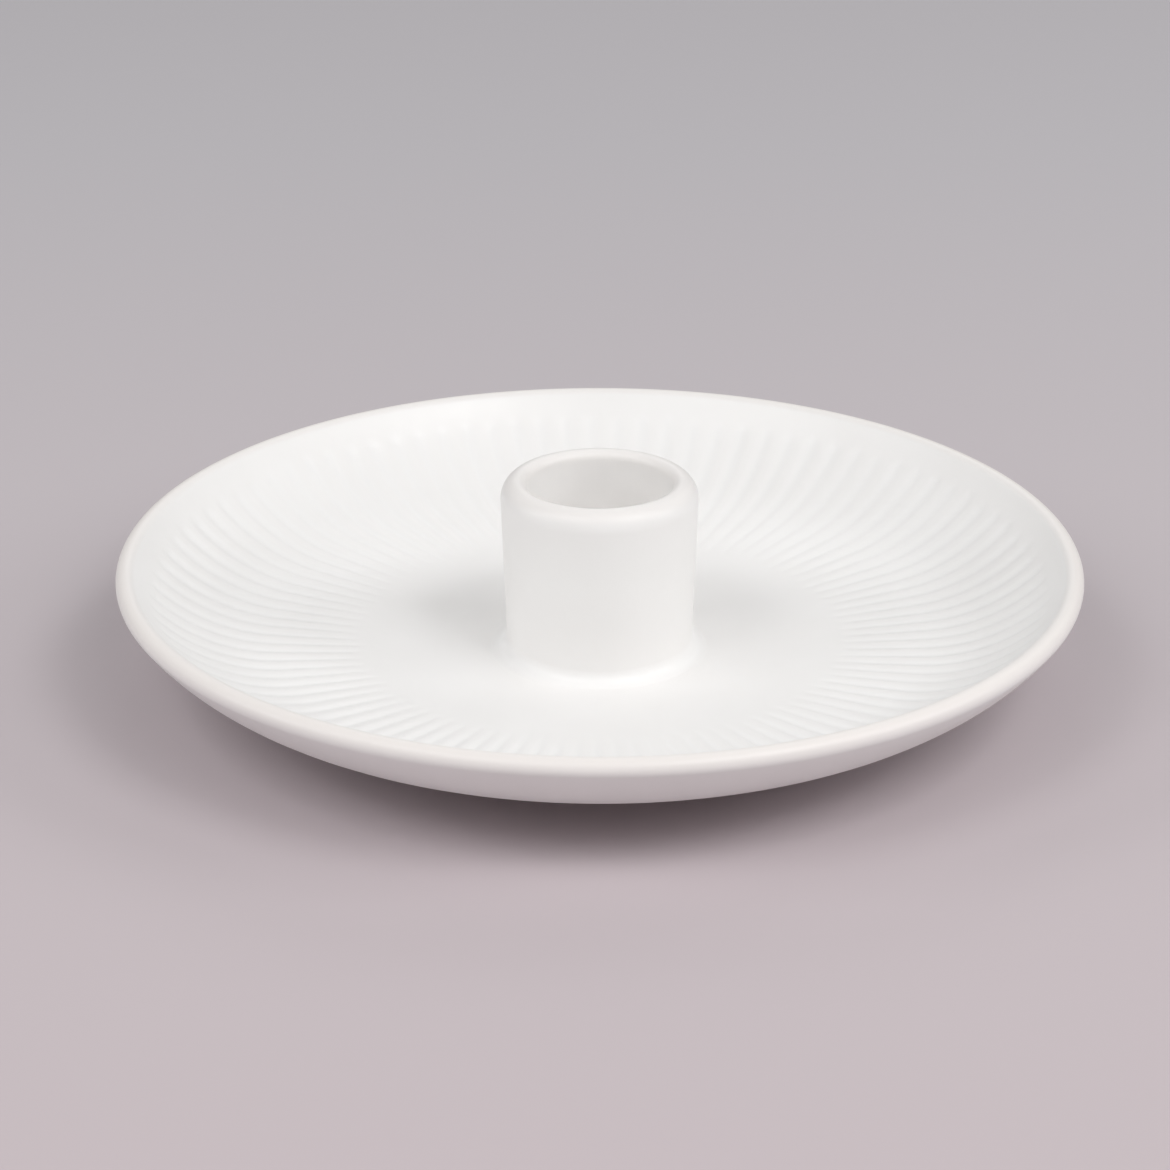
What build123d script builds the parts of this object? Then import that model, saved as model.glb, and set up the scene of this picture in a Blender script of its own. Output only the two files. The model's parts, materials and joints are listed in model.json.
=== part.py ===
from build123d import *
import os
from math import atan, atan2, cos, degrees, radians, sin, sqrt, tan

# A ceramic candle plate: a shallow plate with a fluted well, a candle cup luted to its middle with slip,
# and a foot ring under it. Millimetres, +Z up, with the origin on the table under the plate's centre.
# Each piece is turned about Z, so its section is drawn as (distance from the axis, height).

# Plate
plate_diameter = 150.0
plate_wall = 2.6
rim_thickness = 3.2
rim_height = 18.5  # the widest circle, at the middle of the rounded rim
floor_height = 3.7  # the flat middle of the upper face
floor_slope = 5.9  # degrees, from the flat middle out to the well
well_radius = 29.0  # curve of the upper face from the floor up to the rim

# Flutes in the upper face, each pressed by a round bar
flute_count = 97
first_flute = -1.55  # degrees from +X
flute_bar_radius = 1.8
flute_inner_depth = 0.28
flute_outer_depth = 0.22
flute_floor_run = 11.5  # how far a flute runs in over the floor from the foot of the well
flute_rim_margin = 5.2  # along the well, from a flute's outer end to the rim's round

# Candle cup
candle_diameter = 22.0
candle_clearance = 0.4  # all round the candle
socket_depth = 22.0
socket_floor_round = 1.5
cup_height = 28.3  # above the plate's middle
cup_lip_wall = 4.1
cup_lip_round = 3.2
cup_taper = 1.0  # how much less the cup's radius is at its foot than at its lip

# Slip between the cup and the plate
slip_layer = 0.35
slip_cove = 2.4  # radius of the slip smoothed round the cup's foot

# Foot ring
foot_diameter = 80.0
foot_width = 4.0
foot_edge_round = 0.8

# Cup outline, from the candle outwards
socket_radius = candle_diameter / 2 + candle_clearance
cup_lip_radius = socket_radius + cup_lip_wall
cup_foot_radius = cup_lip_radius - cup_taper
cup_lean = atan(cup_taper / cup_height)

# The round of the socket's lip takes most of what the cup's lip round leaves of the wall
socket_lip_round = (cup_lip_wall - cup_lip_round) * 0.8

# The cove touches the floor at the seat's edge and the leaning cup wall above its foot
seat_radius = cup_foot_radius + slip_cove * (1 + sin(cup_lean)) / cos(cup_lean)

# The well and the outside are two arcs that start along the rising floor and end against the rim's round
slope = radians(floor_slope)
up_floor = Vector(cos(slope), sin(slope))
off_floor = Vector(-sin(slope), cos(slope))
seat_edge = Vector(seat_radius, floor_height)
rim_round = rim_thickness / 2
rim_centre = Vector(plate_diameter / 2 - rim_round, rim_height)
outside_radius = well_radius + plate_wall


def bowl_centre(start, radius, inset):
    """Centre of an arc that leaves the floor's slope and ends an inset inside the rim's centre."""
    to_rim = rim_centre - start
    reach = sqrt((radius + inset) ** 2 - (radius - to_rim.dot(off_floor)) ** 2)
    return start + up_floor * (to_rim.dot(up_floor) - reach) + off_floor * radius


def rim_angle(centre):
    """Angle of the rim's centre as seen from an arc's centre, from straight down."""
    return atan2(rim_centre.X - centre.X, centre.Y - rim_centre.Y)


def on_arc(centre, radius, angle):
    """Point on a circle, at an angle from straight down."""
    return centre + Vector(sin(angle), -cos(angle)) * radius


def bowl_arc(centre, radius, first, last):
    """Arc between two angles from straight down."""
    middle = on_arc(centre, radius, (first + last) / 2)
    return ThreePointArc(on_arc(centre, radius, first), middle, on_arc(centre, radius, last))


well_centre = bowl_centre(seat_edge, well_radius, rim_round)
well_start = on_arc(well_centre, well_radius, slope)
well_end = rim_angle(well_centre)
outside_centre = bowl_centre(seat_edge - off_floor * plate_wall, outside_radius, -rim_round)
outside_end = rim_angle(outside_centre)


def turned(edges):
    """Solid made by turning a closed outline about Z."""
    return revolve(Plane.XZ * make_face(edges), Axis.Z)


def make_plain_plate():
    """Plate with no flutes: a flat seat, a rising floor and a well that thickens to a full-round rim."""
    seat_height = floor_height - slip_layer
    under_height = floor_height - plate_wall
    tip_angle = (well_end + outside_end) / 2
    rim_tip = rim_centre + Vector(cos(tip_angle), sin(tip_angle)) * rim_round
    seat_corner = (seat_radius, seat_height)
    under_corner = (seat_radius + plate_wall * tan(slope / 2), under_height)
    upper = Polyline((0, seat_height), seat_corner, seat_edge, well_start)
    well = bowl_arc(well_centre, well_radius, slope, well_end)
    outside = bowl_arc(outside_centre, outside_radius, outside_end, slope)
    rim = ThreePointArc(well @ 1, rim_tip, outside @ 0)
    under = Polyline(outside @ 1, under_corner, (0, under_height), (0, seat_height))
    return turned([*upper.edges(), well, rim, outside, *under.edges()])


def make_flute_bar():
    """Round-ended bar that follows the floor and the well, and leans away from them towards the rim."""
    lift = flute_bar_radius - flute_inner_depth
    inner_end = well_start - up_floor * flute_floor_run + off_floor * lift
    end_slope = well_end - flute_rim_margin / well_radius
    bar_well = well_radius - lift
    outer_end = on_arc(well_centre, bar_well, end_slope)
    deepening = flute_outer_depth - flute_inner_depth
    lean = deepening / (outer_end - inner_end).dot(Vector(cos(end_slope), sin(end_slope)))
    bend = bowl_arc(well_centre, bar_well, slope, end_slope)
    path = Line(inner_end, bend @ 0) + bend
    path = path.rotate(Axis((inner_end.X, inner_end.Y), (0, 0, 1)), -degrees(lean))
    path = Plane.XZ * path
    bar = sweep(Plane(path @ 0, z_dir=path % 0) * Circle(flute_bar_radius), path)
    return bar + Pos(path @ 0) * Sphere(flute_bar_radius) + Pos(path @ 1) * Sphere(flute_bar_radius)


def make_plate(plain_plate):
    """Plate with its flutes pressed in at even turns."""
    bar = make_flute_bar()
    return plain_plate - [Rot(Z=first_flute + 360 / flute_count * i) * bar for i in range(flute_count)]


def make_candle_cup():
    """Cup with a blind socket, rounded at the lip and round the socket's floor."""
    socket_floor = cup_height - socket_depth
    outline = Polyline(
        (0, 0),
        (cup_foot_radius, 0),
        (cup_lip_radius, cup_height),
        (socket_radius, cup_height),
        (socket_radius, socket_floor),
        (0, socket_floor),
        close=True,
    )
    rounds = {
        (cup_lip_radius, cup_height): cup_lip_round,
        (socket_radius, cup_height): socket_lip_round,
        (socket_radius, socket_floor): socket_floor_round,
    }
    section = make_face(outline)
    for corner, radius in rounds.items():
        section = fillet(section.vertices().sort_by_distance(corner)[0], radius)
    return Pos(Z=floor_height) * revolve(Plane.XZ * section, Axis.Z)


def make_slip_joint():
    """Slip under the cup, flush with the plate's floor at its edge, and coved up the cup's wall."""
    cove_centre = seat_edge + Vector(0, slip_cove)
    cove_top = cove_centre + Vector(-cos(cup_lean), sin(cup_lean)) * slip_cove
    cove_middle = cove_centre + Vector(-1, -1).normalized() * slip_cove
    seat_height = floor_height - slip_layer
    cove = ThreePointArc(seat_edge, cove_middle, cove_top)
    under_cup = Polyline(cove_top, (cup_foot_radius, floor_height), (0, floor_height), (0, seat_height))
    seat = Polyline((0, seat_height), (seat_radius, seat_height), seat_edge)
    return turned([cove, *under_cup.edges(), *seat.edges()])


def make_foot_ring(plain_plate):
    """Ring that stands on the table and ends against the plate's underside."""
    foot_radius = foot_diameter / 2
    mid_wall = floor_height - plate_wall / 2 + (foot_radius - seat_radius) * tan(slope)
    section = Pos(foot_radius - foot_width / 2, mid_wall / 2) * Rectangle(foot_width, mid_wall)
    section = fillet(section.vertices().group_by(Axis.Y)[0], foot_edge_round)
    return revolve(Plane.XZ * section, Axis.Z) - plain_plate


plain = make_plain_plate()
nodes = {
    "plate": make_plate(plain),
    "candle_cup": make_candle_cup(),
    "slip_joint": make_slip_joint(),
    "foot_ring": make_foot_ring(plain),
}
os.makedirs("parts", exist_ok=True)
for name, solid in nodes.items():
    export_step(solid, f"parts/{name}.step")
    print(name, f"{solid.volume:.1f} mm3", solid.bounding_box())
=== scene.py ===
# %% [markdown]
# # A fluted candle plate in white glaze
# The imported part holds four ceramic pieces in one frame: the plate, the candle cup, the slip that joins
# them and the foot ring. This lesson keeps their sizes and places, and gives each one the surface that
# the kiln leaves: soft flutes, a rounded lip, an uneven cove of slip and a bare foot.

# %% Load the frame
import json
import bpy
import numpy as np
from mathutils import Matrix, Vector


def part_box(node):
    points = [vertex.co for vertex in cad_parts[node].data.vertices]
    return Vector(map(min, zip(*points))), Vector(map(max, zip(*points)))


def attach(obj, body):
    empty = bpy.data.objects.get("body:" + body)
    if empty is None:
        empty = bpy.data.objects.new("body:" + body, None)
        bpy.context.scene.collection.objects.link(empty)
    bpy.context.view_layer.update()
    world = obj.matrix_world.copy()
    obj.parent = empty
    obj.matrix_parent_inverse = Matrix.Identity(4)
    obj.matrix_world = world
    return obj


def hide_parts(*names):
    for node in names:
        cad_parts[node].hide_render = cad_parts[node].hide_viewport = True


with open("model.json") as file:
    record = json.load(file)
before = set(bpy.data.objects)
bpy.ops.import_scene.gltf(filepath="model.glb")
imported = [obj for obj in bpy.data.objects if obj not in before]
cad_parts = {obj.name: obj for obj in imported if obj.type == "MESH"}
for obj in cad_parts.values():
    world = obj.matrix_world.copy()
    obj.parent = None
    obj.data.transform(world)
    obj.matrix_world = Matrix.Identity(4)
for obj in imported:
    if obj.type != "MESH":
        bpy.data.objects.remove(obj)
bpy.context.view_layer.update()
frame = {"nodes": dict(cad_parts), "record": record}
print("frame nodes:", sorted(frame["nodes"]))

# %% [markdown]
# ## Sizes
# A potter checks a piece with a gauge, and the frame is the gauge here. Most sizes are read from the
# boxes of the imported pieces, so that the surfaces below can't drift away from them. The part's sizes are
# in millimetres, and its meshes are written in metres. The paper and the lamps are sized in metres.

# %% Sizes read from the frame
MM = 0.001


def node_box(name):
    """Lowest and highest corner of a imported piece, in millimetres."""
    low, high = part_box(name)
    return np.array(low) / MM, np.array(high) / MM


plate_low, plate_high = node_box("plate")
cup_low, cup_high = node_box("candle_cup")
slip_low, slip_high = node_box("slip_joint")
foot_high = node_box("foot_ring")[1]
socket_mount = next(m for m in frame["record"]["mounts"] if m["name"] == "candle_socket")

floor_height = cup_low[2]
under_height = plate_low[2]
plate_wall = floor_height - under_height
plate_radius = min(plate_high[:2])
seat_radius = slip_high[0]
seat_height = slip_low[2]
socket_radius = socket_mount["dims"]["r_mm"]
print(f"plate {2 * plate_radius:.1f} mm across, wall {plate_wall:.2f} mm, cup lip at {cup_high[2]:.1f} mm")

# %% [markdown]
# ## From a section to a mesh
# Every piece is turned about one axis, so each is a section carried round a circle. Blender's Screw
# modifier could do that, but the flutes and the small unevenness of fired clay change from column to
# column. So the section becomes a grid of points, rows along the section and columns round the axis,
# moved as whole arrays.

# %% Section and grid helpers
sharp_corner = 40


def run(first, last, count):
    """Points evenly spaced from first to last along a straight line, without the last one."""
    share = np.linspace(0, 1, count, endpoint=False)[:, None]
    return np.array(first) * (1 - share) + np.array(last) * share


def arc(centre, radius, first, last, count):
    """Points on a circle, or on an ellipse with two radii, from one angle to another, without the last one.

    The angles are in degrees from outwards towards up.
    """
    angle = np.radians(np.linspace(first, last, count, endpoint=False))
    return np.array(centre) + radius * np.stack([np.cos(angle), np.sin(angle)], -1)


def carry_round(section, columns):
    """Grid of each section point (r, z) at every angle, as (r cos a, r sin a, z), and the angles."""
    angle = np.linspace(0, 2 * np.pi, columns, endpoint=False)
    r, z = section[:, :1], section[:, 1:]
    flat = np.ones_like(angle)
    return np.stack([r * np.cos(angle), r * np.sin(angle), z * flat], -1), angle


def section_normals(section):
    """Unit normals to the left of the section's direction: outwards for a section drawn clockwise."""
    along = np.gradient(section, axis=0)
    along /= np.linalg.norm(along, axis=1, keepdims=True)
    return np.stack([-along[:, 1], along[:, 0]], -1)


def section_lengths(section):
    """Length of the section from its first point to each point."""
    steps = np.linalg.norm(np.diff(section, axis=0), axis=1)
    return np.concatenate([[0], np.cumsum(steps)])


def smooth_step(x, low, high):
    """0 below low, 1 above high, and 3t^2 - 2t^3 between them."""
    t = np.clip((x - low) / (high - low), 0, 1)
    return t * t * (3 - 2 * t)


def turned_piece(name, grid, poles=None, **masks):
    """Closed mesh from a grid of points in millimetres: quads between rows, and fans to two poles.

    Without poles the last row joins the first, as on a ring. Each mask is a grid of values from 0 to 1 and
    becomes a point attribute that the finish can read.
    """
    rows, columns = grid.shape[:2]
    index = np.arange(rows * columns).reshape(rows, columns)
    upper = index if poles is None else index[:-1]
    lower = np.roll(index, -1, axis=0) if poles is None else index[1:]
    quads = np.stack([upper, lower, np.roll(lower, -1, 1), np.roll(upper, -1, 1)], -1).reshape(-1, 4)
    points = grid.reshape(-1, 3)
    corners, starts = [quads.ravel()], [np.arange(len(quads)) * 4]
    if poles is not None:
        first, last = rows * columns, rows * columns + 1
        points = np.vstack([points, [(0, 0, z) for z in poles]])
        fan_in = np.stack([np.full(columns, first), index[0], np.roll(index[0], -1)], -1)
        fan_out = np.stack([index[-1], np.full(columns, last), np.roll(index[-1], -1)], -1)
        fans = np.vstack([fan_in, fan_out])
        corners.append(fans.ravel())
        starts.append(4 * len(quads) + np.arange(len(fans)) * 3)
    corners, starts = np.concatenate(corners), np.concatenate(starts)
    mesh = bpy.data.meshes.new(name)
    mesh.vertices.add(len(points))
    mesh.vertices.foreach_set("co", (points * MM).ravel())
    mesh.loops.add(len(corners))
    mesh.loops.foreach_set("vertex_index", corners)
    mesh.polygons.add(len(starts))
    mesh.polygons.foreach_set("loop_start", starts)
    mesh.update(calc_edges=True)
    mesh.shade_smooth()
    mesh.set_sharp_from_angle(angle=np.radians(sharp_corner))
    for mask, values in masks.items():
        spare = np.zeros(len(points) - values.size)
        attribute = mesh.attributes.new(mask, "FLOAT", "POINT")
        attribute.data.foreach_set("value", np.concatenate([values.ravel(), spare]))
    piece = bpy.data.objects.new(name, mesh)
    bpy.context.scene.collection.objects.link(piece)
    triangles = 2 * len(quads) + (0 if poles is None else 2 * columns)
    print(f"{name}: {rows} rows, {columns} columns, {triangles} triangles")
    return piece


# %% [markdown]
# ## Plate section
# On the wheel the plate is a flat seat, a floor that rises a little, and a round well that thickens
# towards a full-round rim. The arcs of the well and of the outside are not placed by eye. Each has to
# leave the slope of the floor smoothly and to end against the rim's round, and those two wishes fix its
# centre.

# %% Plate section
floor_slope = 5.9
well_radius = 29.0
rim_round = 1.6

slope = np.radians(floor_slope)
up_floor = np.array([np.cos(slope), np.sin(slope)])
off_floor = np.array([-np.sin(slope), np.cos(slope)])
seat_edge = np.array([seat_radius, floor_height])
rim_height = plate_high[2] - rim_round
rim_centre = np.array([plate_radius - rim_round, rim_height])
outside_radius = well_radius + plate_wall


def bowl_arc(start, radius, inset):
    """Centre and end angle of an arc that leaves the floor's slope and ends an inset inside the rim.

    The centre c lies off the floor by the radius R, and |c - rim| = R + inset fixes it along the floor.
    """
    offset = rim_centre - start
    reach = np.sqrt((radius + inset) ** 2 - (radius - offset @ off_floor) ** 2)
    centre = start + up_floor * (offset @ up_floor - reach) + off_floor * radius
    to_rim = rim_centre - centre
    return centre, np.degrees(np.arctan2(to_rim[1], to_rim[0]))


well_centre, well_end = bowl_arc(seat_edge, well_radius, rim_round)
outside_centre, outside_end = bowl_arc(seat_edge - off_floor * plate_wall, outside_radius, -rim_round)
well_start = well_centre - off_floor * well_radius
floor_length = np.linalg.norm(well_start - seat_edge)
well_length = well_radius * np.radians(well_end - floor_slope + 90)
print(f"floor {floor_length:.1f} mm, well {well_length:.1f} mm, its end leans {well_end + 90:.1f} degrees")

# %% [markdown]
# ## Flutes
# The flutes are straight grooves pressed in from the rim towards the middle, and the glaze has run into
# them, so they have no edges left. A bump map would not do: from a low angle the flutes have to break the
# light for real. Each groove is a dip that depends only on the distance from its own centre line, which
# also gives it round ends. The line grows deeper from its inner end, and every flute differs a little
# from its neighbours.

# %% Flute sizes
flute_count = 97
first_flute = -1.55
flute_inner_depth = 0.08
flute_depth = 0.20
flute_ramp = 8.0
flute_floor_run = 12.2
flute_rim_margin = 5.2
flute_share = 0.85
columns_per_flute = 10
vigour_spread = 0.10
start_spread = 0.45
end_spread = 0.20
hand = np.random.default_rng(11)


def by_hand(spread):
    """A small random difference for every flute, with no outliers."""
    return spread * hand.standard_normal(flute_count).clip(-2, 2)


flute_vigour = 1 + by_hand(vigour_spread)
flute_start_drift = by_hand(start_spread)
flute_end_drift = by_hand(end_spread)
print(f"{flute_count} flutes, {flute_vigour.min():.2f} to {flute_vigour.max():.2f} times their usual depth")


def flute_dip(radius, length, angle):
    """Depth of the flutes at a radius, a length along the floor and well from the seat, and an angle.

    The dip is D(s) (1 + cos(pi t)) / 2, where t is the distance from the nearest flute's centre line in half
    widths, and the depth D grows along the line over a short ramp from its inner end.
    """
    turn = (angle - np.radians(first_flute)) / (2 * np.pi) * flute_count + 0.5
    flute = np.floor(turn).astype(int) % flute_count
    pitch = 2 * np.pi * radius / flute_count
    aside = (turn % 1 - 0.5) * pitch
    first = floor_length - flute_floor_run + flute_start_drift[flute]
    last = floor_length + well_length - flute_rim_margin + flute_end_drift[flute]
    beyond = np.maximum(np.maximum(first - length, length - last), 0)
    ramp = smooth_step(length, first, first + flute_ramp)
    depth = flute_vigour[flute] * (flute_inner_depth + (flute_depth - flute_inner_depth) * ramp)
    t = np.clip(np.hypot(aside, beyond) / (flute_share * pitch / 2), 0, 1)
    return depth * (1 + np.cos(np.pi * t)) / 2


# %% Plate mesh
pole_ring = 1.0
flute_lead = 2.0
seat_corner = (seat_radius, seat_height)
under_corner = (seat_radius + plate_wall * np.tan(slope / 2), under_height)
lead_point = seat_edge + up_floor * (floor_length - flute_floor_run - flute_lead)
seat = np.vstack([run((pole_ring, seat_height), seat_corner, 2), run(seat_corner, seat_edge, 2)])
floor = np.vstack([run(seat_edge, lead_point, 6), run(lead_point, well_start, 18)])
well = arc(well_centre, well_radius, floor_slope - 90, well_end, 38)
rim = arc(rim_centre, rim_round, well_end + 180, outside_end, 16)
outside = arc(outside_centre, outside_radius, outside_end, floor_slope - 90, 14)
under_start = outside_centre - off_floor * outside_radius
under = np.vstack([run(under_start, under_corner, 4), run(under_corner, (0, under_height), 2)])
plate_section = np.vstack([seat, floor, well, rim, outside, under])

plate_columns = flute_count * columns_per_flute
grid, angle = carry_round(plate_section, plate_columns)
outwards = carry_round(section_normals(plate_section), plate_columns)[0]
lengths = section_lengths(plate_section)
from_seat = (lengths - lengths[len(seat)])[:, None]
first_rim = len(seat) + len(floor) + len(well)
fluted = slice(len(seat), first_rim)
dip = np.zeros(grid.shape[:2])
dip[fluted] = flute_dip(plate_section[fluted, :1], from_seat[fluted], angle)
grid -= outwards * dip[..., None]

on_rim = np.zeros(len(plate_section))
on_rim[first_rim:first_rim + len(rim)] = np.sin(np.linspace(0, np.pi, len(rim)))
plate = turned_piece(
    "glazed_plate",
    grid,
    poles=(seat_height, under_height),
    thin_glaze=on_rim[:, None] + 0 * angle,
    pooled_glaze=dip / dip.max(),
)
print(f"deepest flute {dip.max():.2f} mm")

# %% [markdown]
# ## Candle cup
# The cup was turned on its own and luted on. It widens a little towards the lip, which a wet sponge has
# rounded into one soft roll, wider outside than round the socket. A bevel would round the two edges with
# circles and leave no room for that roll, so a quarter ellipse on each side makes it. A slow drift of the
# lip's height takes away the look of a machined ring.

# %% Candle cup
cup_lip_wall = 4.1
cup_taper = 1.0
cup_lip_round = np.array([2.65, 3.2])
socket_lip_round = np.array([1.3, 1.5])
socket_floor_round = 1.5
cup_columns = 256
lip_drift = 0.12
lip_drift_reach = 12
lip_thin_low, lip_thin_high = 2.2, 0.5
lip_thinness = 0.5

cup_top = cup_high[2]
cup_foot_radius = socket_radius + cup_lip_wall - cup_taper
cup_lean = np.arctan(cup_taper / (cup_top - floor_height))
socket_middle = socket_mount["pos_m"][2] / MM
socket_floor = socket_middle - socket_mount["dims"]["length_mm"] / 2 - socket_floor_round


def cup_wall(z):
    """Radius of the cup's leaning outer wall at a height."""
    return cup_foot_radius + (z - floor_height) * np.tan(cup_lean)


# The roll of the lip touches the leaning wall where its own edge leans as much.
roll_width, roll_height = cup_lip_round
shoulder = cup_top - roll_height
roll_reach = np.hypot(roll_width, roll_height * np.tan(cup_lean))
shoulder_centre = (cup_wall(shoulder) - roll_reach, shoulder)
lean_angle = -np.arctan(np.tan(cup_lean) * roll_height / roll_width)
wall_top = np.array(shoulder_centre) + cup_lip_round * np.array([np.cos(lean_angle), np.sin(lean_angle)])
socket_corner = (socket_radius - socket_floor_round, socket_floor + socket_floor_round)
lip_corner = (socket_radius + socket_lip_round[0], cup_top - socket_lip_round[1])
cup_section = np.vstack([
    run((pole_ring, socket_floor), (socket_corner[0], socket_floor), 4),
    arc(socket_corner, socket_floor_round, -90, 0, 8),
    run((socket_radius, socket_corner[1]), (socket_radius, lip_corner[1]), 16),
    arc(lip_corner, socket_lip_round, 180, 90, 10),
    run((lip_corner[0], cup_top), (shoulder_centre[0], cup_top), 2),
    arc(shoulder_centre, cup_lip_round, 90, np.degrees(lean_angle), 20),
    run(wall_top, (cup_foot_radius, floor_height), 24),
    run((cup_foot_radius, floor_height), (0, floor_height), 3),
])
grid, angle = carry_round(cup_section, cup_columns)
near_lip = smooth_step(grid[..., 2], cup_top - lip_drift_reach, cup_top)
wander = (2 + np.sin(2 * angle + 0.8) + 0.6 * np.sin(3 * angle + 2.1) + 0.4 * np.sin(7 * angle)) / 4
grid[..., 2] -= lip_drift * near_lip * wander
lip_mask = smooth_step(grid[..., 2], cup_top - lip_thin_low, cup_top - lip_thin_high)
cup = turned_piece(
    "glazed_cup",
    grid,
    poles=(socket_floor, floor_height),
    thin_glaze=lip_thinness * lip_mask,
    pooled_glaze=0 * lip_mask,
)

# %% [markdown]
# ## Slip cove
# When the cup is pressed onto the wet seat, slip squeezes out and a finger smooths it into a cove. It is
# never even all round, and it feathers out over the floor and up the wall, so no seam shows under the
# glaze. The cove is an arc that touches the leaning wall and the rising floor, with a radius that wanders
# round the cup.

# %% Slip cove
cove_radius = 2.35
cove_wander = 0.12
cove_columns = 256
cove_rows = 36
cove_sunk = 0.006
hidden_run = 1.2
hidden_lap = 1.0

angle = np.linspace(0, 2 * np.pi, cove_columns, endpoint=False)
finger = 0.6 * np.sin(angle - 0.7) + 0.3 * np.sin(2 * angle + 1.9) + 0.2 * np.sin(5 * angle + 0.4)
radius = cove_radius * (1 + cove_wander * finger)
# The circle's centre is one radius, less a hair, from the wall's line and from the floor's line.
lines = np.array([[np.cos(cup_lean), -np.sin(cup_lean)], off_floor])
anchors = np.array([lines[0] @ (cup_foot_radius, floor_height), lines[1] @ seat_edge]) - cove_sunk
centre = np.linalg.solve(lines, anchors[:, None] + radius).T
bend = np.radians(np.linspace(180 - np.degrees(cup_lean), 270 + floor_slope, cove_rows))[:, None]
cove_r = centre[:, 0] + radius * np.cos(bend)
cove_z = centre[:, 1] + radius * np.sin(bend)
up_wall = np.array([np.sin(cup_lean), np.cos(cup_lean)])
wall_end = np.array([cove_r[0], cove_z[0]]) + hidden_run * up_wall[:, None]
floor_end = np.array([cove_r[-1], cove_z[-1]]) + hidden_run * up_floor[:, None]
below = np.array([floor_end[0], 0 * angle + seat_height])
inside = np.array([0 * angle + cup_foot_radius - hidden_lap, 0 * angle + seat_height])
cove_r = np.vstack([wall_end[0], cove_r, floor_end[0], below[0], inside[0]])
cove_z = np.vstack([wall_end[1], cove_z, floor_end[1], below[1], inside[1]])
grid = np.stack([cove_r * np.cos(angle), cove_r * np.sin(angle), cove_z], -1)
pooled = np.zeros(grid.shape[:2])
pooled[1:cove_rows + 1] = np.sin(np.linspace(0, np.pi, cove_rows))[:, None]
slip = turned_piece("slip_cove", grid, thin_glaze=0 * pooled, pooled_glaze=pooled)
print(f"cove radius {radius.min():.2f} to {radius.max():.2f} mm")

# %% [markdown]
# ## Foot ring
# The ring is luted under the plate and wiped clean of glaze before the firing, or the plate would stick
# to the kiln shelf. It has soft lower edges and a small flare where it meets the plate. A mask that fades
# with the height says where the clay is bare.

# %% Foot ring
foot_width = 4.0
foot_edge_round = 0.8
foot_flare = 1.0
foot_sunk = 0.2
foot_columns = 256
glaze_line = 1.2
glaze_fade = 0.25

foot_outer = foot_high[0]
foot_inner = foot_outer - foot_width


def under_floor(r):
    """Height of the plate's sloping underside at a radius."""
    return under_height + (r - under_corner[0]) * np.tan(slope)


outer_end = np.array([foot_outer + foot_flare, under_floor(foot_outer + foot_flare)])
inner_end = np.array([foot_inner - foot_flare, under_floor(foot_inner - foot_flare)])
outer_flare = outer_end - (0, foot_flare)
inner_flare = inner_end - (0, foot_flare)
outer_sunk = outer_end + (0, foot_sunk)
inner_sunk = inner_end + (0, foot_sunk)
foot_section = np.vstack([
    run(inner_sunk, outer_sunk, 2),
    run(outer_sunk, outer_end, 1),
    arc(outer_flare, foot_flare, 90, 180, 8),
    arc((foot_outer - foot_edge_round, foot_edge_round), foot_edge_round, 0, -90, 8),
    run((foot_outer - foot_edge_round, 0), (foot_inner + foot_edge_round, 0), 6),
    arc((foot_inner + foot_edge_round, foot_edge_round), foot_edge_round, 270, 180, 8),
    arc(inner_flare, foot_flare, 0, 90, 8),
])
grid, angle = carry_round(foot_section, foot_columns)
wiped = 0.15 * np.sin(3 * angle + 0.5) + 0.1 * np.sin(11 * angle) + 0.08 * np.sin(23 * angle + 1)
line_height = glaze_line + wiped
bare = 1 - smooth_step(grid[..., 2], line_height - glaze_fade, line_height + glaze_fade)
foot = turned_piece("bare_foot_ring", grid, bare_clay=bare)
print(f"foot ring {2 * foot_outer:.1f} mm across, {foot_width:.1f} mm wide")

# %% [markdown]
# ## Shared effects
# Two effects are used by more than one finish, so each is a node group with named sockets. The first is
# the slow cloudiness of a fired surface. The second is its fine skin, the orange peel of a glaze or the
# grain of bare clay. Both read Object coordinates, so they stay in place when the part is turned.

# %% Node groups


def add_node(tree, kind, **settings):
    """New node in a tree, with its properties set."""
    node = tree.nodes.new(kind)
    for key, value in settings.items():
        setattr(node, key, value)
    return node


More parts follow.
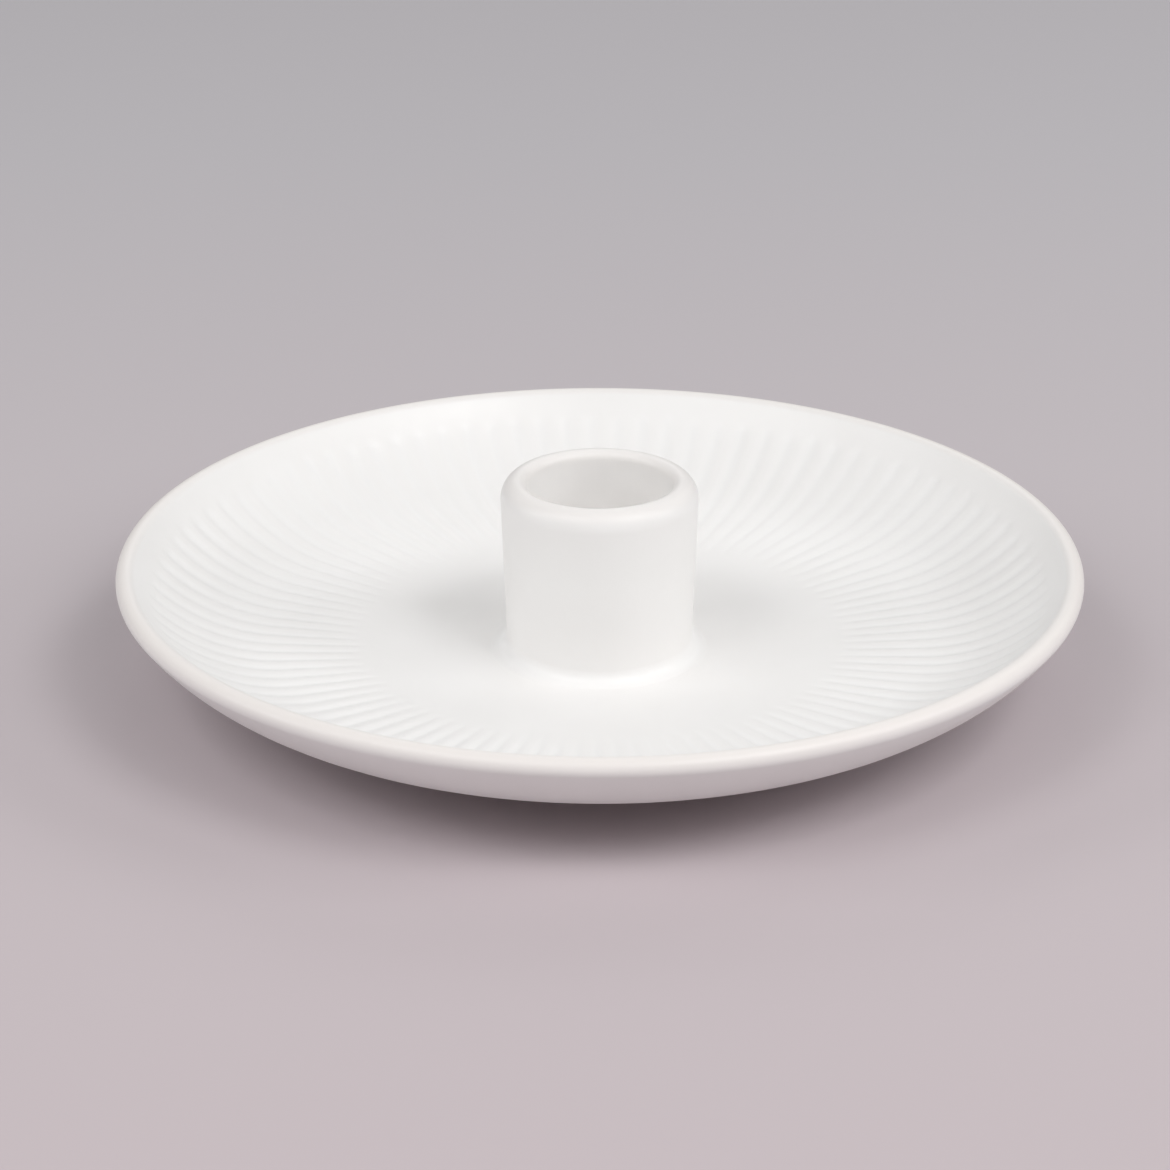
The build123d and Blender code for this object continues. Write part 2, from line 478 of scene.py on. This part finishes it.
def noise_group(name, detail, roughness):
    """Node group: noise of a size in metres on Object coordinates, stretched to 0 to 1 by its contrast."""
    group = bpy.data.node_groups.new(name, "ShaderNodeTree")
    for socket, value in (("Size", 0.01), ("Contrast", 1.0)):
        made = group.interface.new_socket(socket, in_out="INPUT", socket_type="NodeSocketFloat")
        made.default_value = value
    group.interface.new_socket("Value", in_out="OUTPUT", socket_type="NodeSocketFloat")
    inputs = add_node(group, "NodeGroupInput")
    outputs = add_node(group, "NodeGroupOutput")
    place = add_node(group, "ShaderNodeTexCoord")
    per_metre = add_node(group, "ShaderNodeMath", operation="DIVIDE")
    per_metre.inputs[0].default_value = 1
    noise = add_node(group, "ShaderNodeTexNoise", noise_dimensions="3D")
    noise.inputs["Detail"].default_value = detail
    noise.inputs["Roughness"].default_value = roughness
    centred = add_node(group, "ShaderNodeMath", operation="SUBTRACT")
    centred.inputs[1].default_value = 0.5
    stretched = add_node(group, "ShaderNodeMath", operation="MULTIPLY_ADD", use_clamp=True)
    stretched.inputs[2].default_value = 0.5
    group.links.new(inputs.outputs["Size"], per_metre.inputs[1])
    group.links.new(place.outputs["Object"], noise.inputs["Vector"])
    group.links.new(per_metre.outputs[0], noise.inputs["Scale"])
    group.links.new(noise.outputs["Fac"], centred.inputs[0])
    group.links.new(centred.outputs[0], stretched.inputs[0])
    group.links.new(inputs.outputs["Contrast"], stretched.inputs[1])
    group.links.new(stretched.outputs[0], outputs.inputs["Value"])
    return group


kiln_clouds = noise_group("kiln_clouds", detail=3, roughness=0.5)
fired_skin = noise_group("fired_skin", detail=2, roughness=0.6)
print("node groups:", kiln_clouds.name, fired_skin.name)

# %% [markdown]
# ## White satin glaze
# The glaze is white, satin and a little uneven. It is thinner on the rim and the lip, where the warm body
# shows through, and it pools in the flutes and the cove. The masks that came with the meshes steer that,
# because a formula knows the edges better than a texture could.

# %% Finish helpers


def new_finish(name):
    """Material with an empty tree, its Principled BSDF and the link to the output."""
    material = bpy.data.materials.new(name)
    material.use_nodes = True
    tree = material.node_tree
    tree.nodes.clear()
    shader = add_node(tree, "ShaderNodeBsdfPrincipled")
    output = add_node(tree, "ShaderNodeOutputMaterial")
    tree.links.new(shader.outputs["BSDF"], output.inputs["Surface"])
    return material, tree, shader


def effect(tree, group, size, contrast):
    """Value output of a noise group in a material, with its own size in millimetres and contrast."""
    node = add_node(tree, "ShaderNodeGroup", node_tree=group)
    node.inputs["Size"].default_value = size * MM
    node.inputs["Contrast"].default_value = contrast
    return node.outputs["Value"]


def mask(tree, name, strength):
    """A point attribute of the mesh, scaled by a strength."""
    attribute = add_node(tree, "ShaderNodeAttribute", attribute_name=name)
    scaled = add_node(tree, "ShaderNodeMath", operation="MULTIPLY", use_clamp=True)
    scaled.inputs[1].default_value = strength
    tree.links.new(attribute.outputs["Fac"], scaled.inputs[0])
    return scaled.outputs[0]


def blend_colour(tree, factor, first, second):
    """Mix of two colours. Each is a colour value or an output, and so is the factor."""
    node = add_node(tree, "ShaderNodeMix", data_type="RGBA")
    for socket, value in (("Factor_Float", factor), ("A_Color", first), ("B_Color", second)):
        target = next(s for s in node.inputs if s.identifier == socket)
        if isinstance(value, bpy.types.NodeSocket):
            tree.links.new(value, target)
        else:
            target.default_value = value
    return next(s for s in node.outputs if s.identifier == "Result_Color")


def blend_value(tree, factor, low, high):
    """Value that goes from low to high with a factor between 0 and 1."""
    node = add_node(tree, "ShaderNodeMapRange")
    node.inputs["To Min"].default_value = low
    node.inputs["To Max"].default_value = high
    tree.links.new(factor, node.inputs["Value"])
    return node.outputs["Result"]


def raise_skin(tree, shader, height, depth):
    """Bump of a height output on a shader, with the skin's depth in millimetres."""
    bump = add_node(tree, "ShaderNodeBump")
    bump.inputs["Distance"].default_value = depth * MM
    tree.links.new(height, bump.inputs["Height"])
    tree.links.new(bump.outputs["Normal"], shader.inputs["Normal"])


# %% White satin glaze
glaze_white = (0.90, 0.888, 0.878, 1)
glaze_cloud = (0.88, 0.866, 0.854, 1)
glaze_thin = (0.87, 0.81, 0.77, 1)
glaze_pool = (0.885, 0.882, 0.878, 1)

glaze, tree, shader = new_finish("white_satin_glaze")
clouds = effect(tree, kiln_clouds, size=18, contrast=2.2)
colour = blend_colour(tree, clouds, glaze_white, glaze_cloud)
colour = blend_colour(tree, mask(tree, "pooled_glaze", strength=0.4), colour, glaze_pool)
colour = blend_colour(tree, mask(tree, "thin_glaze", strength=0.6), colour, glaze_thin)
tree.links.new(colour, shader.inputs["Base Color"])
sheen = effect(tree, kiln_clouds, size=7, contrast=2.0)
tree.links.new(blend_value(tree, sheen, low=0.36, high=0.46), shader.inputs["Roughness"])
orange_peel = effect(tree, fired_skin, size=1.4, contrast=1.5)
raise_skin(tree, shader, orange_peel, depth=0.012)
for piece in (plate, cup, slip):
    piece.data.materials.append(glaze)
print("finish:", glaze.name)

# %% [markdown]
# ## Bare clay
# The wiped foot is warmer, rougher and grainier than the glaze. The mask on the ring fades from clay to
# glaze a little above the table, as the wiped line does.

# %% Bare clay
clay_light = (0.70, 0.63, 0.55, 1)
clay_dark = (0.60, 0.52, 0.44, 1)

bare_clay, tree, shader = new_finish("bare_clay")
bare_mask = mask(tree, "bare_clay", strength=1.0)
mottle = effect(tree, kiln_clouds, size=2.5, contrast=2.5)
clay = blend_colour(tree, mottle, clay_light, clay_dark)
tree.links.new(blend_colour(tree, bare_mask, glaze_white, clay), shader.inputs["Base Color"])
tree.links.new(blend_value(tree, bare_mask, low=0.42, high=0.85), shader.inputs["Roughness"])
grain = effect(tree, fired_skin, size=0.5, contrast=2.0)
raise_skin(tree, shader, grain, depth=0.03)
foot.data.materials.append(bare_clay)
print("finish:", bare_clay.name)

# %% [markdown]
# ## Set the pieces in the frame
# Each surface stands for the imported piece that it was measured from, and moves with the part's one body.

# %% Frame
places = {
    "plate": (plate, "glaze"),
    "candle_cup": (cup, "glaze"),
    "slip_joint": (slip, "glaze"),
    "foot_ring": (foot, "bare_foot"),
}
for node, (piece, slot) in places.items():
    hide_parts(node)
    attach(piece, "root")
print("pieces set:", ", ".join(places))

# %% [markdown]
# ## Paper
# The plate stands on a wide sheet of plain pale paper. One large face would do, but a disc of rings, far
# larger than the view, never shows an edge. The paper is a little pinker in front of the plate than
# behind it. A lamp with a tint would colour the white glaze as well, so the paper's own colour fades
# along Y instead.

# %% Paper
paper_radius = 4.0
paper_columns = 128
paper_rings = np.array([0.05, 0.2, 0.5, 1.0, 2.0, paper_radius])
angle = np.linspace(0, 2 * np.pi, paper_columns, endpoint=False)
ring_points = np.stack([np.cos(angle), np.sin(angle), 0 * angle], -1)
points = (paper_rings[:, None, None] * ring_points).reshape(-1, 3)
index = np.arange(len(points)).reshape(len(paper_rings), paper_columns)
inner, outer = index[:-1], index[1:]
quads = np.stack([inner, outer, np.roll(outer, -1, 1), np.roll(inner, -1, 1)], -1).reshape(-1, 4)
faces = [index[0].tolist(), *quads.tolist()]
paper_mesh = bpy.data.meshes.new("paper")
paper_mesh.from_pydata(points.tolist(), [], faces)
paper = bpy.data.objects.new("paper", paper_mesh)
bpy.context.scene.collection.objects.link(paper)

paper_front = (0.572, 0.504, 0.525, 1)
paper_back = (0.550, 0.528, 0.551, 1)
fade_start, fade_end = -0.14, 0.30

paper_finish, tree, shader = new_finish("grey_paper")
place = add_node(tree, "ShaderNodeTexCoord")
along = add_node(tree, "ShaderNodeSeparateXYZ")
fade = add_node(tree, "ShaderNodeMapRange")
fade.inputs["From Min"].default_value = fade_start
fade.inputs["From Max"].default_value = fade_end
tree.links.new(place.outputs["Object"], along.inputs[0])
tree.links.new(along.outputs["Y"], fade.inputs["Value"])
paper_colour = blend_colour(tree, fade.outputs["Result"], paper_front, paper_back)
tree.links.new(paper_colour, shader.inputs["Base Color"])
shader.inputs["Roughness"].default_value = 0.95
shader.inputs["Specular IOR Level"].default_value = 0.1
paper_mesh.materials.append(paper_finish)
print("paper", 2 * paper_radius, "m across")

# %% [markdown]
# ## Light
# A white plate shows its flutes only where one side of the light is stronger than the other, and its cup
# stands in two pale shadows. A single large lamp overhead would wash both out. So a ring of soft boxes
# stands round the plate, strongest at the front corners and low at the sides, and weak ones behind fill
# the far wall. A low white card lifts the shaded front of the plate, and a dim white room fills the rest.
# Light goes to and fro in a deep white socket many times, so it gets more bounces than usual.

# %% Room
room_strength = 0.29
socket_bounces = 12

scene = bpy.context.scene
scene.cycles.diffuse_bounces = socket_bounces
world = bpy.data.worlds.new("studio")
world.use_nodes = True
scene.world = world
room = world.node_tree.nodes["Background"]
room.inputs["Color"].default_value = (1, 1, 1, 1)
room.inputs["Strength"].default_value = room_strength
print("room light", room_strength)

# %% Lamps
box_width = 0.5
box_distance = 1.3
card_height = 0.12


def soft_box(name, azimuth, elevation, power, height=box_width):
    """Area lamp that shines at the part from a direction.

    The direction is in degrees: the azimuth from +X towards +Y, and the elevation above the paper.
    """
    turn, rise = np.radians(azimuth), np.radians(elevation)
    way = Vector((np.cos(turn) * np.cos(rise), np.sin(turn) * np.cos(rise), np.sin(rise)))
    lamp = bpy.data.lights.new(name, "AREA")
    lamp.shape = "RECTANGLE"
    lamp.size = box_width
    lamp.size_y = height
    lamp.energy = power
    box = bpy.data.objects.new(name, lamp)
    box.location = way * box_distance
    box.rotation_euler = way.to_track_quat("Z", "Y").to_euler()
    bpy.context.scene.collection.objects.link(box)


soft_box("right_front_box", -38, 50, 4.2)
soft_box("front_box", -62, 50, 1.7)
soft_box("left_front_box", -118, 50, 1.4)
soft_box("left_box", -142, 50, 2.75)
soft_box("right_side_box", -8, 28, 3.3)
soft_box("left_side_box", -172, 28, 2.55)
soft_box("right_back_box", 45, 35, 0.95)
soft_box("back_box", 90, 35, 0.85)
soft_box("left_back_box", 135, 35, 0.5)
soft_box("front_card", -90, 4, 0.6, height=card_height)

# %% [markdown]
# ## Camera
# The camera looks down at the plate from the front, as a person at the table does. Its angle and lens
# could be turned by eye until the outline fits. Here they come from a fit of the rim, the cup and the
# flutes together.

# %% Camera
camera_distance = 520.0
camera_elevation = 22.854
camera_aim = (-2.28, 0, 14.0)
camera_lens = 102.426

tilt = np.radians(camera_elevation)
stand = np.array([0, -np.cos(tilt), np.sin(tilt)]) * camera_distance + (0, 0, rim_height)
camera = bpy.data.objects.new("camera", bpy.data.cameras.new("camera"))
camera.data.lens = camera_lens
camera.data.clip_start = 0.01
camera.location = Vector(stand * MM)
look = Vector(camera_aim) * MM - camera.location
camera.rotation_euler = look.to_track_quat("-Z", "Y").to_euler()
scene.collection.objects.link(camera)
scene.camera = camera
scene.view_settings.view_transform = "Standard"
print("camera at", np.round(stand, 1), "mm")
